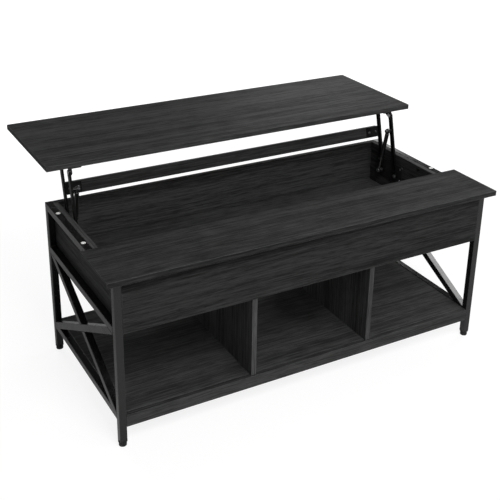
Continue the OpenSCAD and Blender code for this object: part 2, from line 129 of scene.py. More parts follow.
def piece(name, shape, body, materials, nodes=(), finish_of=None, sharp=None):
    """A shape made an object: corners in one place become one, a face keeps each of them once, and the
    object rides on its body and stands for its nodes. finish_of picks a material number for each face from
    its direction. Without directions, edges up to the angle sharp, in degrees, look smooth."""
    corners, faces, ways = shape
    _, first, number = np.unique(np.round(corners / SAME_CORNER).astype(np.int64), axis=0,
                                 return_index=True, return_inverse=True)
    rings = [tuple(dict.fromkeys(ring)) for ring in number.ravel()[faces].tolist()]
    kept = [k for k, ring in enumerate(rings) if len(ring) > 2]
    mesh = bpy.data.meshes.new(name)
    mesh.from_pydata(corners[first].tolist(), [], [rings[k] for k in kept])
    for material in materials:
        mesh.materials.append(material)
    if finish_of is not None:
        picked = finish_of(ways[faces].mean(1))[kept]
        mesh.polygons.foreach_set("material_index", picked.astype(np.int32))
    mesh.shade_smooth()
    if ways is None:
        mesh.set_sharp_from_angle(angle=math.radians(sharp))
    else:
        mesh.normals_split_custom_set_from_vertices(ways[first].tolist())
    made = bpy.data.objects.new(name, mesh)
    bpy.context.scene.collection.objects.link(made)
    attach(made, body)
    if nodes:
        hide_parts(*nodes)


def solids(name):
    """The boxes of the separate solids of a CAD node. Corners in one place are one corner, and each takes
    the lowest number among the triangles that it is on until nothing changes."""
    mesh = frame["nodes"][name].data
    corners = np.empty(len(mesh.vertices) * 3, np.float32)
    mesh.vertices.foreach_get("co", corners)
    triangles = np.empty(len(mesh.loops), np.int32)
    mesh.loops.foreach_get("vertex_index", triangles)
    corners = corners.reshape(-1, 3)
    _, first, number = np.unique(np.round(corners / SAME_CAD_CORNER).astype(np.int64), axis=0,
                                 return_index=True, return_inverse=True)
    triangles = number.ravel()[triangles].reshape(-1, 3)
    label, before = np.arange(len(first)), None
    while before is None or (label != before).any():
        before = label.copy()
        np.minimum.at(label, triangles.ravel(), before[triangles].min(1).repeat(3))
    corners = corners[first].astype(float)
    return [(corners[label == k].min(0), corners[label == k].max(0)) for k in np.unique(label)]


# ---------------------------------------------------------------- shader nodes

FLOAT, VECTOR = "NodeSocketFloat", "NodeSocketVector"


def node(tree, kind, inputs=None, **settings):
    """A shader node with its settings; each input is a plain value or another node's output."""
    made = tree.nodes.new(kind)
    for key, value in settings.items():
        setattr(made, key, value)
    for key, value in (inputs or {}).items():
        if isinstance(value, bpy.types.NodeSocket):
            tree.links.new(value, made.inputs[key])
        else:
            made.inputs[key].default_value = value
    return made


def reckon(tree, operation, a, b, clamp=False):
    """The output of a Math node."""
    return node(tree, "ShaderNodeMath", {0: a, 1: b}, operation=operation, use_clamp=clamp).outputs[0]


def times(tree, a, b):
    """One value times another."""
    return reckon(tree, "MULTIPLY", a, b)


def spread(tree, value, low, high, to_low=0.0, to_high=1.0):
    """A value's range from low to high spread over another range, and held at its ends."""
    return node(tree, "ShaderNodeMapRange", {"Value": value, "From Min": low, "From Max": high,
                                             "To Min": to_low, "To Max": to_high}).outputs["Result"]


def blended(tree, factor, a, b):
    """Two colours mixed."""
    return node(tree, "ShaderNodeMix", {0: factor, 6: a, 7: b}, data_type="RGBA",
                clamp_factor=True).outputs[2]


def noise(tree, place, cells, detail, roughness=0.5):
    """Noise with so many cells a metre along X, Y and Z, and finer layers over it."""
    scaled = node(tree, "ShaderNodeMapping", {"Vector": place, "Scale": cells}).outputs[0]
    return node(tree, "ShaderNodeTexNoise", {"Vector": scaled, "Scale": 1.0, "Detail": detail,
                                             "Roughness": roughness}).outputs["Fac"]


def own_place(tree):
    """A point's place in the object's own coordinates."""
    return node(tree, "ShaderNodeTexCoord").outputs["Object"]


def group(name, inputs, outputs):
    """An empty shader node group with named sockets; returns its tree, its inputs and its output node."""
    tree = bpy.data.node_groups.new(name, "ShaderNodeTree")
    for key, kind, value in inputs:
        socket = tree.interface.new_socket(key, in_out="INPUT", socket_type=kind)
        if value is not None:
            socket.default_value = value
    for key in outputs:
        tree.interface.new_socket(key, in_out="OUTPUT", socket_type=FLOAT)
    return tree, tree.nodes.new("NodeGroupInput").outputs, tree.nodes.new("NodeGroupOutput").inputs


def placed(tree, made, inputs):
    """A node group placed in a material with its own values; returns its outputs."""
    return node(tree, "ShaderNodeGroup", inputs, node_tree=made).outputs


def make_wood_grain():
    """Long straight grain along X. Fine lines, longer streaks and broad bands are noises stretched along
    the board, and their sum by shares is spread over the tone. A slow drift moves them sideways, and thin
    veins and short pores darken them."""
    fine_share, streak_share, broad_share = 0.54, 0.22, 0.24
    least, most = 0.425, 0.565
    vein_dark, pore_dark, pore_deep = 0.3, 0.45, 0.5
    tree, given, out = group("wood_grain", [("Vector", VECTOR, None), ("Drift", FLOAT, 0.012)],
                             ("Tone", "Height"))
    slow = noise(tree, given["Vector"], (2.6, 6.0, 6.0), 1.0)
    shift = times(tree, reckon(tree, "SUBTRACT", slow, 0.5), given["Drift"])
    drift = node(tree, "ShaderNodeCombineXYZ", {"Y": shift, "Z": shift}).outputs[0]
    at = node(tree, "ShaderNodeVectorMath", {0: given["Vector"], 1: drift}, operation="ADD").outputs[0]
    fine = noise(tree, at, (13.0, 330.0, 330.0), 4.0, 0.75)
    streak = noise(tree, at, (2.0, 190.0, 190.0), 2.0, 0.55)
    broad = noise(tree, at, (0.7, 26.0, 26.0), 2.0)
    vein = spread(tree, noise(tree, at, (1.3, 75.0, 75.0), 1.0), 0.6, 0.7)
    pore = spread(tree, noise(tree, at, (30.0, 460.0, 460.0), 1.0), 0.6, 0.7)
    pore = times(tree, pore, spread(tree, broad, 0.42, 0.58))
    tone = reckon(tree, "ADD", times(tree, fine, fine_share), times(tree, streak, streak_share))
    tone = reckon(tree, "ADD", tone, times(tree, broad, broad_share))
    tone = spread(tree, tone, least, most)
    tone = reckon(tree, "SUBTRACT", tone, times(tree, vein, vein_dark))
    tone = reckon(tree, "SUBTRACT", tone, times(tree, pore, pore_dark), clamp=True)
    height = reckon(tree, "SUBTRACT", tone, times(tree, pore, pore_deep))
    tree.links.new(tone, out["Tone"])
    tree.links.new(height, out["Height"])
    return tree


def make_arris_mask():
    """1 on a rounded edge and 0 on the flats: how far the surface's own normal is from its nearest axis."""
    tree, given, out = group("arris_mask", [("Least", FLOAT, 0.02), ("Most", FLOAT, 0.25)], ("Mask",))
    way = node(tree, "ShaderNodeTexCoord").outputs["Normal"]
    size = node(tree, "ShaderNodeVectorMath", {0: way}, operation="ABSOLUTE").outputs[0]
    parts = node(tree, "ShaderNodeSeparateXYZ", {0: size}).outputs
    nearest = reckon(tree, "MAXIMUM", reckon(tree, "MAXIMUM", parts[0], parts[1]), parts[2])
    away = reckon(tree, "SUBTRACT", 1.0, nearest)
    tree.links.new(spread(tree, away, given["Least"], given["Most"]), out["Mask"])
    return tree


def make_coat_texture():
    """The skin of a sprayed or dipped coat: a fine orange peel, a slower unevenness in its gloss, and small
    paler scuffs where two noises are both high."""
    tree, given, out = group("coat_texture", [("Vector", VECTOR, None), ("Peel", FLOAT, 900.0)],
                             ("Height", "Gloss", "Scuff"))
    peel = node(tree, "ShaderNodeTexNoise", {"Vector": given["Vector"], "Scale": given["Peel"],
                                             "Detail": 2.0}).outputs["Fac"]
    gloss = noise(tree, given["Vector"], (28.0, 28.0, 28.0), 3.0)
    patch = spread(tree, noise(tree, given["Vector"], (9.0, 9.0, 9.0), 1.0), 0.55, 0.7)
    scratch = spread(tree, noise(tree, given["Vector"], (420.0, 160.0, 90.0), 3.0, 0.7), 0.6, 0.72)
    tree.links.new(peel, out["Height"])
    tree.links.new(gloss, out["Gloss"])
    tree.links.new(times(tree, patch, scratch), out["Scuff"])
    return tree


def make_dust():
    """Thin dust on faces that look up: the upward part of the surface's own normal times a patchy noise."""
    tree, given, out = group("dust", [("Vector", VECTOR, None), ("Amount", FLOAT, 0.05)], ("Mask",))
    way = node(tree, "ShaderNodeTexCoord").outputs["Normal"]
    up = node(tree, "ShaderNodeSeparateXYZ", {0: way}).outputs["Z"]
    patchy = spread(tree, noise(tree, given["Vector"], (14.0, 14.0, 14.0), 4.0, 0.65), 0.35, 0.7)
    mask = times(tree, spread(tree, up, 0.3, 1.0), patchy)
    tree.links.new(times(tree, mask, given["Amount"]), out["Mask"])
    return tree


def make_metal_texture():
    """Fine marks on bare metal: short turned lines, and slow stains in its brightness."""
    tree, given, out = group("metal_texture", [("Vector", VECTOR, None)], ("Marks", "Stain"))
    tree.links.new(noise(tree, given["Vector"], (1500.0, 1500.0, 300.0), 2.0), out["Marks"])
    tree.links.new(noise(tree, given["Vector"], (160.0, 160.0, 160.0), 3.0), out["Stain"])
    return tree


wood_grain, arris_mask, coat_texture = make_wood_grain(), make_arris_mask(), make_coat_texture()
dust, metal_texture = make_dust(), make_metal_texture()


# ---------------------------------------------------------------- materials
# Every grey is a display grey from 0 to 255, and depth is the height of the bumps.

# BOARD_EDGE_HIGHLIGHT is the pale grey of a painted highlight on the boards' rounded edges.
BOARD_EDGE_HIGHLIGHT, BOARD_DUST, STEEL_DUST = 118, 170, 150


def linear(grey, tint=(0.0, 0.0, 0.0)):
    """A display grey as a linear colour by the usual screen curve, with a small tint added to its parts."""
    parts = [(grey + t) / 255 for t in tint]
    return tuple(((p + 0.055) / 1.055) ** 2.4 if p > 0.04045 else p / 12.92 for p in parts) + (1.0,)


def material(name, **constants):
    """A new node material, its tree, and its Principled shader, whose plain values are set."""
    made = bpy.data.materials.new(name)
    made.use_nodes = True
    shader = made.node_tree.nodes["Principled BSDF"]
    for key, value in constants.items():
        shader.inputs[key.replace("_", " ")].default_value = value
    return made, made.node_tree, shader


def surface(tree, shader, colour, roughness, height, strength, depth):
    """The colour, roughness and bump of a material led to its shader."""
    tree.links.new(colour, shader.inputs["Base Color"])
    tree.links.new(roughness, shader.inputs["Roughness"])
    bump = node(tree, "ShaderNodeBump", {"Height": height, "Strength": strength, "Distance": depth})
    tree.links.new(bump.outputs[0], shader.inputs["Normal"])


def laminate(name, dark, light, along):
    """Charcoal wood-grain laminate between two greys, with the grain turned to lie along one axis of the
    object, a painted highlight along its rounded edges, and thin dust."""
    made, tree, shader = material(name, Specular_IOR_Level=0.06)
    own = own_place(tree)
    turn = {"X": (0, 0, 0), "Y": (0, 0, math.pi / 2), "Z": (0, math.pi / 2, 0)}[along]
    grained = node(tree, "ShaderNodeMapping", {"Vector": own, "Rotation": turn}).outputs[0]
    grain = placed(tree, wood_grain, {"Vector": grained, "Drift": 0.014})
    arris = placed(tree, arris_mask, {})["Mask"]
    dusty = placed(tree, dust, {"Vector": own, "Amount": 0.035})["Mask"]
    colour = blended(tree, grain["Tone"], linear(dark), linear(light))
    # Painted highlight: the rounded edges are blended halfway towards a pale grey, standing in for light
    # caught on the edge.
    colour = blended(tree, times(tree, arris, 0.5), colour, linear(BOARD_EDGE_HIGHLIGHT))
    colour = blended(tree, dusty, colour, linear(BOARD_DUST))
    rough = reckon(tree, "ADD", spread(tree, grain["Tone"], 0.0, 1.0, 0.6, 0.48), dusty)
    surface(tree, shader, colour, rough, grain["Height"], strength=0.35, depth=0.12 * MM)
    return made


def coated(name, grey, roughness, peel, specular, worn, arris=60, coat=0.0):
    """Black coated steel: a near-black skin with orange peel, uneven gloss, small scuffs in the grey worn,
    dust, and edges in the grey arris, paler partly where the coat is thin and partly as a painted highlight.
    coat is a clear gloss over it."""
    made, tree, shader = material(name, Specular_IOR_Level=specular, Coat_Weight=coat, Coat_Roughness=0.12)
    own = own_place(tree)
    skin = placed(tree, coat_texture, {"Vector": own, "Peel": peel})
    dusty = placed(tree, dust, {"Vector": own, "Amount": 0.008})["Mask"]
    peel_top = spread(tree, skin["Height"], 0.35, 0.65)
    colour = blended(tree, peel_top, linear(grey * 0.9), linear(grey * 1.08))
    colour = blended(tree, times(tree, skin["Scuff"], 0.4), colour, linear(worn))
    # The edges are blended towards the grey arris: partly thin coat, partly a painted highlight standing in
    # for light caught on the edges.
    thin = times(tree, placed(tree, arris_mask, {"Least": 0.08, "Most": 0.25})["Mask"],
                 spread(tree, skin["Gloss"], 0.35, 0.6, 0.35, 0.85))
    colour = blended(tree, thin, colour, linear(arris))
    colour = blended(tree, dusty, colour, linear(STEEL_DUST))
    rough = spread(tree, skin["Gloss"], 0.3, 0.7, roughness - 0.05, roughness + 0.07)
    surface(tree, shader, colour, rough, skin["Height"], strength=0.12, depth=0.08 * MM)
    return made


def bare(name, grey, roughness, tint=(0, 0, 0)):
    """Plated or polished steel, with fine marks, and stains that are darker by a few greys."""
    made, tree, shader = material(name, Metallic=1.0)
    skin = placed(tree, metal_texture, {"Vector": own_place(tree)})
    stain = skin["Stain"]
    colour = blended(tree, spread(tree, stain, 0.35, 0.65), linear(grey - 22, tint), linear(grey, tint))
    rough = spread(tree, stain, 0.3, 0.7, roughness, roughness + 0.14)
    surface(tree, shader, colour, rough, skin["Marks"], strength=0.08, depth=0.03 * MM)
    return made


def moulded(name, grey, roughness, speckle, tint=(0, 0, 0)):
    """Moulded plastic or rubber: a matt skin with a fine eroded texture."""
    made, tree, shader = material(name, Specular_IOR_Level=0.4)
    skin = placed(tree, coat_texture, {"Vector": own_place(tree), "Peel": speckle})
    colour = blended(tree, times(tree, skin["Gloss"], 0.5), linear(grey, tint),
                     linear(grey * 0.86 + 8, tint))
    rough = spread(tree, skin["Height"], 0.3, 0.7, roughness - 0.08, roughness + 0.08)
    surface(tree, shader, colour, rough, skin["Height"], strength=0.25, depth=0.1 * MM)
    return made


def laminates(name, dark, light):
    """The same laminate with its grain along each of the three axes."""
    return {axis: laminate(f"{name}_grain_{axis.lower()}", dark, light, axis) for axis in "XYZ"}


grain_along = laminates("laminate", dark=32, light=60)
band_along = laminates("edge_band", dark=54, light=80)
# A paler copy of the laminate for the back panel, box floor, dividers and shelf: painted light that lifts
# the shade inside the box and bays.
shade_lifted_inner_along = laminates("inner", dark=38, light=67)
pale_band = {"Z": laminate("pale_edge_band_grain_z", dark=64, light=90, along="Z")}
finishes = {
    "powder_coat": coated("satin_powder_coat", grey=20, roughness=0.22, peel=1100.0, specular=0.5, worn=50),
    "board_long_grain": grain_along["X"],
    "board_upright_grain": grain_along["Z"],
    "bumper_rubber": moulded("white_bumper_rubber", grey=246, roughness=0.55, speckle=1600.0,
                             tint=(0, 0, -3)),
    "foot_plastic": moulded("black_foot_plastic", grey=30, roughness=0.5, speckle=1400.0),
    # arris is the grey of the paler edges: partly thin coat, partly a painted highlight.
    "black_steel": coated("black_dipped_steel", grey=16, roughness=0.3, peel=700.0, specular=0.09,
                          worn=60, arris=96),
    # A paler copy of the black steel for the base brackets deep in the box: painted light that lifts their
    # shade.
    "shade_lifted_bracket_steel": coated("shade_lifted_black_steel", grey=34, roughness=0.42, peel=700.0, specular=0.12,
                            worn=70, arris=96),
    "bright_steel": bare("zinc_plated_steel", grey=196, roughness=0.24, tint=(0, 1, 3)),
    "dulled_steel": bare("dark_zinc_steel", grey=104, roughness=0.36, tint=(0, 0, 2)),
    "polished_rod": bare("polished_rod_steel", grey=222, roughness=0.1),
    "strut_paint": coated("strut_gloss_paint", grey=22, roughness=0.14, peel=500.0, specular=0.5, worn=56,
                          coat=0.25),
}
finish_name = slot_of | {
    # The base brackets take the paler copy of the black steel, painted light against the box's shade.
    "base_bracket_left": "shade_lifted_bracket_steel",
    "base_bracket_right": "shade_lifted_bracket_steel",
    "board_rivets": "dulled_steel",
    "board_screws": "dulled_steel",
    "strut_bolt_left": "dulled_steel",
    "strut_bolt_right": "dulled_steel",
    "top_bracket_screws": "dulled_steel",
}

for name, part in frame["nodes"].items():
    part.data.materials.clear()
    part.data.materials.append(finishes[finish_name[name]])


# ---------------------------------------------------------------- boards

X, Y, Z = range(3)
BOARD_EDGE = 0.9 * MM
ALONG_AN_AXIS = 0.7    # a face looks along an axis where that part of its direction is more than this


def leaning_block(low, high, up, r):
    """A board leaning along the direction up, within its box. With the lean's sine s and cosine c, its
    thickness t and height h give the box's depth t c + h s and its height t s + h c."""
    low, high = np.array(low), np.array(high)
    size, s, c = high - low, up[1], up[2]
    t, h = (np.array((c, -s)) * size[1] + np.array((-s, c)) * size[2]) / (c * c - s * s)
    half = np.array((size[0], t, h)) / 2
    return stood(rounded_block(-half, half, r), (low + high) / 2, up)


def board(name, along, end_along, end_axis, body="frame", band_axis=None, tones=grain_along,
          band=band_along, up=None):
    """A laminated board in its node's box. Its grain lies along one axis, and on the two narrow ends the
    grain runs along the end. A band of a paler edging may cover the faces across a third axis."""
    low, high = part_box(name)
    shape = rounded_block(low, high, BOARD_EDGE) if up is None else leaning_block(low, high, up, BOARD_EDGE)

    def finish_of(ways):
        picked = (np.abs(ways[:, end_axis]) > ALONG_AN_AXIS).astype(int)
        if band_axis is not None:
            picked[np.abs(ways[:, band_axis]) > ALONG_AN_AXIS] = 2
        return picked

    piece(name + "_board", shape, body,
          [tones[along], tones[end_along], band[along]], [name], finish_of)


def arm_way():
    """The direction from a base pin up to the upper pin of the same arm."""
    (base, _), (top, _) = solids("base_pins")[0], solids("top_pins")[0]
    rise = Vector(top) - Vector(base)
    return Vector((0, rise[1], rise[2])).normalized()


up_arm = arm_way()
board("lift_top", "X", "Y", X, "lifting_top", band_axis=Y)
board("fixed_top", "X", "Y", X)
board("front_apron", "X", "Z", X)
# The back panel, box floor, dividers and shelf take the paler laminate: painted light against the shade
# inside.
board("back_panel", "X", "Z", X, tones=shade_lifted_inner_along)
board("side_panel_left", "Y", "Z", Y, band_axis=Z)
board("side_panel_right", "Y", "Z", Y, band_axis=Z)
board("box_floor", "X", "Y", X, tones=shade_lifted_inner_along)
board("divider_left", "Z", "Y", Z, band_axis=Y, tones=shade_lifted_inner_along, band=pale_band)
board("divider_right", "Z", "Y", Z, band_axis=Y, tones=shade_lifted_inner_along, band=pale_band)
board("shelf", "X", "Y", X, tones=shade_lifted_inner_along)
board("shelf_front_edge", "X", "Z", X, band_axis=Y)
board("shelf_rear_edge", "X", "Z", X)
board("cross_board", "X", "Z", X, "rear_arms", up=up_arm)


# ---------------------------------------------------------------- steelwork

def softened(name, width):
    """The sheared and turned edges of a steel part eased: its triangles are welded and each sharp edge
    gets a small round."""
    weld = frame["nodes"][name].modifiers.new("one_skin", "WELD")
    weld.merge_threshold = 0.005 * MM
    ease = frame["nodes"][name].modifiers.new("eased_edges", "BEVEL")
    ease.width, ease.segments, ease.limit_method = width, 2, "ANGLE"
    ease.angle_limit, ease.harden_normals = math.radians(35), True


for name, held in slot_of.items():
    if held == "black_steel" and name != "frame_bolts":
        softened(name, 0.35 * MM)
softened("board_rivets", 0.4 * MM)

BEAD_R, BEAD_PITCH, BEAD_INSET = 1.9 * MM, 2.6 * MM, 1.2 * MM


def weld_bead(side, y, z):
    """A bead across the tubes at one corner of a side frame. Its radius along X is
    r (1 + 0.18 |sin(pi x / pitch)|), closed at both ends by (1 - u^8)^(1/2) with u from -1 to 1."""
    low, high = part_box("post_front_left" if side < 0 else "post_front_right")
    u = np.linspace(-1, 1, 45)
    x = (low[0] + high[0]) / 2 + u * ((high[0] - low[0]) / 2 - BEAD_INSET)
    ripple = BEAD_R * (1 + 0.18 * np.abs(np.sin(math.pi * x / BEAD_PITCH)))
    r = (ripple * np.sqrt(np.maximum(1 - u ** 8, 0)))[:, None]
    t = full_turn(10)
    ring = np.stack((x[:, None] + 0 * t, y + r * np.cos(t), z + r * np.sin(t)), -1)
    return ring.reshape(-1, 3), grid_faces(len(u), len(t)), None


def frame_welds(side):
    """A side frame's beads: at each rail's inner corners with the posts, at both faces of each brace where
    it lands on a rail or post, and at the four corners where the braces cross."""
    hand = "left" if side < 0 else "right"
    top, middle, bottom = (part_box(f"{rail}_rail_{hand}") for rail in ("top", "middle", "bottom"))
    front, rear = top[0][1], top[1][1]
    tube = top[1][2] - top[0][2]
    low, high = bottom[1][2], middle[0][2]
    slope = (high - low + tube) / (rear - front)
    across = tube / 2 * math.hypot(1, slope)
    landing = (tube / 2 + across) / slope
    y_mid, z_mid = (front + rear) / 2, (low + high) / 2
    places = [(end, z) for end in (front, rear) for z in (top[0][2], middle[1][2], bottom[0][2])]
    places += [(y, z) for z in (high, low) for y in (front + landing, rear - landing)]
    places += [(end, z) for end in (front, rear)
               for z in (high + tube / 2 - across, low - tube / 2 + across)]
    places += [(y_mid, z_mid + across), (y_mid, z_mid - across),
               (y_mid + across / slope, z_mid), (y_mid - across / slope, z_mid)]
    return [weld_bead(side, y, z) for y, z in places]


piece("weld_beads", joined(frame_welds(-1) + frame_welds(1)), "frame",
      [finishes["powder_coat"]], sharp=70)


# ---------------------------------------------------------------- screws and bolts
# A fixing is made with the top of its head at z = 0 and its shank below.

HEAD_T, HEAD_EDGE = 2.0 * MM, 0.25 * MM
FINE_EDGE = 0.2 * MM
SCREW_PITCH, SCREW_CROWN, SUNK_CROWN = 1.3 * MM, 0.8 * MM, 0.05 * MM
BOLT_HEAD_T, BOLT_R, BOLT_PITCH = 2.5 * MM, 3 * MM, 1.0 * MM
SOCKET_R, BOLT_SOCKET, STRUT_SOCKET = 2.9 * MM, 1.7 * MM, 2.6 * MM


def cross_recess(a, b):
    """How deep a cross recess is, from 0 to 1, in a head of radius 1: two bars with sloping sides and ends,
    shallower towards their tips."""
    half_w, half_l = 0.15, 0.55
    side_slope, end_slope, tip_rise = 0.4 * half_w, 0.2 * half_l, 0.45

    def bar(u, v):
        across = np.clip((half_w - np.abs(u)) / side_slope, 0, 1)
        end = np.clip((half_l - np.abs(v)) / end_slope, 0, 1)
        return across * end * (1 - tip_rise * np.abs(v) / half_l)

    return np.maximum(bar(a, b), bar(b, a))


def cross_head(r, rim, crown, spin):
    """A screw head with a cross recess. A square grid (a, b) is pulled out to a disc by
    x = a (1 - b^2/2)^(1/2), y = b (1 - a^2/2)^(1/2). Its height is -crown (x^2 + y^2)^2 less 0.36 r times
    the recess, and rim is the (radius, height) profile below its edge, starting under the middle. The
    grid's lines lie closer where the recess slopes."""
    half = np.array((0, 0.09, 0.15, 0.3, 0.44, 0.55, 0.7, 0.85, 0.95, 1))
    marks = np.concatenate((-half[:0:-1], half))
    a, b = np.meshgrid(marks, marks, indexing="ij")
    x, y = a * np.sqrt(1 - b ** 2 / 2), b * np.sqrt(1 - a ** 2 / 2)
    z = -crown * (x ** 2 + y ** 2) ** 2 - 0.36 * r * cross_recess(a, b)
    top = np.stack((r * (x * math.cos(spin) - y * math.sin(spin)),
                    r * (x * math.sin(spin) + y * math.cos(spin)), z), -1)
    edge = np.concatenate((top[-1, :-1], top[:0:-1, -1], top[0, :0:-1], top[:-1, 0]))
    rows = [edge * (radius / r, radius / r, 0) + (0, 0, height) for radius, height in rim] + [edge]
    wall = np.stack(rows).reshape(-1, 3)
    lid = grid_faces(len(marks), len(marks), around=False)[:, ::-1]
    return joined([(top.reshape(-1, 3), lid, None), (wall, grid_faces(len(rows), len(edge)), None)])


def threaded(r, length, pitch, pointed):
    """A shank below z = 0: ridges between its root and r at each pitch, and a pointed or blunt end."""
    root, blunt = 0.74 * r, 0.66 * r
    z = np.arange(-length + (2.2 if pointed else 0.6) * pitch, 0, pitch / 2)
    ridge = np.where(np.arange(len(z)) % 2, r, root)
    end = ((0, -length),) if pointed else ((0, -length), (blunt, -length))
    return turned(np.vstack((end, np.stack((ridge, z), 1), ((root, 0), (0, 0)))), 16)


def hex_socket_head(r, h, corner, deep):
    """A turned head whose rows are round outside, and inside are a hexagon
    corner cos(30) / cos(t - 30) between each pair of corners."""
    t = full_turn(48)
    hexagon = math.cos(math.pi / 6) / np.cos(t % (math.pi / 3) - math.pi / 6)
    edge, drill_point = 0.5 * MM, 0.5 * MM
    rows = ((0, -h, 0), (r - FINE_EDGE, -h, 0), (r, -h + FINE_EDGE, 0), (r, -edge, 0),
            (r - 0.3 * edge, -0.3 * edge, 0), (r - edge, 0, 0), (corner + HEAD_EDGE, 0, 1),
            (corner, -FINE_EDGE, 1), (corner, -deep, 1), (0, -deep - drill_point, 1))
    corners = [np.stack((radius * (hexagon if six else 1) * np.cos(t),
                         radius * (hexagon if six else 1) * np.sin(t), z + 0 * t), -1)
               for radius, z, six in rows]
    return np.vstack(corners), grid_faces(len(rows), len(t)), None


def seat_of(low, high, way):
    """The centre of a head's top, the head's radius and the fixing's length, from the box of its solid and
    the direction its head faces. The shank is half as wide as the head."""
    way = np.array(way, float)
    half, centre = (high - low) / 2, (high + low) / 2
    r = half[1] if abs(way[0]) > 0.5 else half[0]
    lean = np.sqrt(1 - way ** 2)
    longest = np.abs(way).argmax()
    length = (2 * half[longest] - 1.5 * r * lean[longest]) / abs(way[longest])
    return centre + np.sign(way) * (half - r * lean), r, length


def wood_screw(low, high, way, number, sunk=False):
    """A cross-head wood screw, with a crowned head, or a flat one sunk in its seat. Its number turns it."""
    top, r, length = seat_of(low, high, way)
    spin = number * 0.9
    if sunk:
        head = cross_head(r, ((0, -HEAD_T), (r / 2, -HEAD_T)), SUNK_CROWN, spin)
    else:
        head = cross_head(r, ((0, -HEAD_T), (r - HEAD_EDGE, -HEAD_T), (r, -HEAD_T + HEAD_EDGE)),
                          SCREW_CROWN, spin)
    shank = threaded(r / 2, length - HEAD_T, SCREW_PITCH, True)
    return joined([stood(head, top, way), stood(shank, top - np.array(way) * HEAD_T, way)])


def frame_bolt(low, high, way):
    """A flat-headed bolt with a hexagon socket."""
    top, r, length = seat_of(low, high, way)
    shank = threaded(BOLT_R, length - BOLT_HEAD_T, BOLT_PITCH, False)
    return joined([stood(hex_socket_head(r, BOLT_HEAD_T, SOCKET_R, BOLT_SOCKET), top, way),
                   stood(shank, top - np.array(way) * BOLT_HEAD_T, way)])


def inward(low, high):
    """The direction from one side of the table to its middle."""
    return (-1, 0, 0) if low[0] + high[0] > 0 else (1, 0, 0)


down, off_board = (0, 0, -1), (0, -up_arm[2], up_arm[1])    # the ways that heads face
fixings = {
    "base_bracket_screws": ("frame", lambda k, box: wood_screw(*box, inward(*box), k, sunk=True)),
    "shelf_screws": ("frame", lambda k, box: wood_screw(*box, down, k)),
    "top_bracket_screws": ("lifting_top", lambda k, box: wood_screw(*box, down, k)),
    "board_screws": ("rear_arms", lambda k, box: wood_screw(*box, off_board, k)),
    "frame_bolts": ("frame", lambda k, box: frame_bolt(*box, inward(*box))),
}
for name, (body, made_of) in fixings.items():
    shapes = [made_of(k, box) for k, box in enumerate(solids(name))]
    piece(name + "_turned", joined(shapes), body, [finishes[finish_name[name]]], [name],
          sharp=30)


# ---------------------------------------------------------------- pins and struts

PIN_R, EYE_R, EYE_T, ROD_R = 4.0 * MM, 8.0 * MM, 6.0 * MM, 3.5 * MM
SEAT_GAP = 0.3 * MM
RIVETED = 1 * MM


def pin_dome(r):
    """The crowned end of a pin, from its rim to the dimple in its middle. With t up to a right angle, its
    radius is r (0.72 + 0.28 cos t) and its height 0.9 mm (sin t - 1)."""
    t = quarter_turn(7)
    crown = np.stack((r * (0.72 + 0.28 * np.cos(t)), 0.9 * MM * (np.sin(t) - 1)), 1)
    return np.vstack((crown, ((0.4 * r, 0), (0.32 * r, -0.25 * MM), (0, -0.45 * MM))))


def pivot_pin(r, length, collars):
    """A pin with its head's top at z = 0. Its shank is PIN_R wide, and each collar (from, to, radius)
    below the head is wider, with its edges broken."""
    rows = [(0, -length)]
    for start, end, wide in collars:
        rows += [(PIN_R, -end), (wide - FINE_EDGE, -end), (wide, -end + FINE_EDGE),
                 (wide, -start - FINE_EDGE), (wide - FINE_EDGE, -start), (PIN_R, -start)]
    rows += [(PIN_R, -HEAD_T), (r - HEAD_EDGE, -HEAD_T), (r, -HEAD_T + HEAD_EDGE)]
    if not collars or collars[-1][1] < length:
        rows.insert(1, (PIN_R, -length))
    return turned(np.vstack((rows, pin_dome(r))), 40)


def base_pin(low, high, front_length):
    """A base pin: the rear one is longer, and has a collar between its arm and the strut's eye."""
    top, r, length = seat_of(low, high, inward(low, high))
    collars = ()
    if length > 1.5 * front_length:
        collars = ((HEAD_T + 2 * SEAT_GAP + EYE_T, length - front_length + HEAD_T, r),)
    return stood(pivot_pin(r, length, collars), top, inward(low, high))


def top_pin(low, high):
    """An upper pin, with its far end riveted over outside the arm."""
    top, r, length = seat_of(low, high, inward(low, high))
    return stood(pivot_pin(r, length, ((length - RIVETED, length, r - RIVETED),)), top, inward(low, high))


pin_boxes = solids("base_pins")
shortest = min(high[0] - low[0] for low, high in pin_boxes)
piece("base_pins_turned", joined([base_pin(low, high, shortest) for low, high in pin_boxes]), "frame",
      [finishes["bright_steel"]], ["base_pins"], sharp=35)
piece("top_pins_turned", joined([top_pin(low, high) for low, high in solids("top_pins")]), "lifting_top",
      [finishes["bright_steel"]], ["top_pins"], sharp=35)


def strut_eye():
    """The ring at a strut's end: a rectangle with broken corners, turned round its hole."""
    half, hole, edge = EYE_T / 2, PIN_R + 0.05 * MM, 0.5 * MM
    return turned(((hole, -half + edge), (hole + edge, -half), (EYE_R - edge, -half), (EYE_R, -half + edge),
                   (EYE_R, half - edge), (EYE_R - edge, half), (hole + edge, half), (hole, half - edge),
                   (hole, -half + edge)), 40)


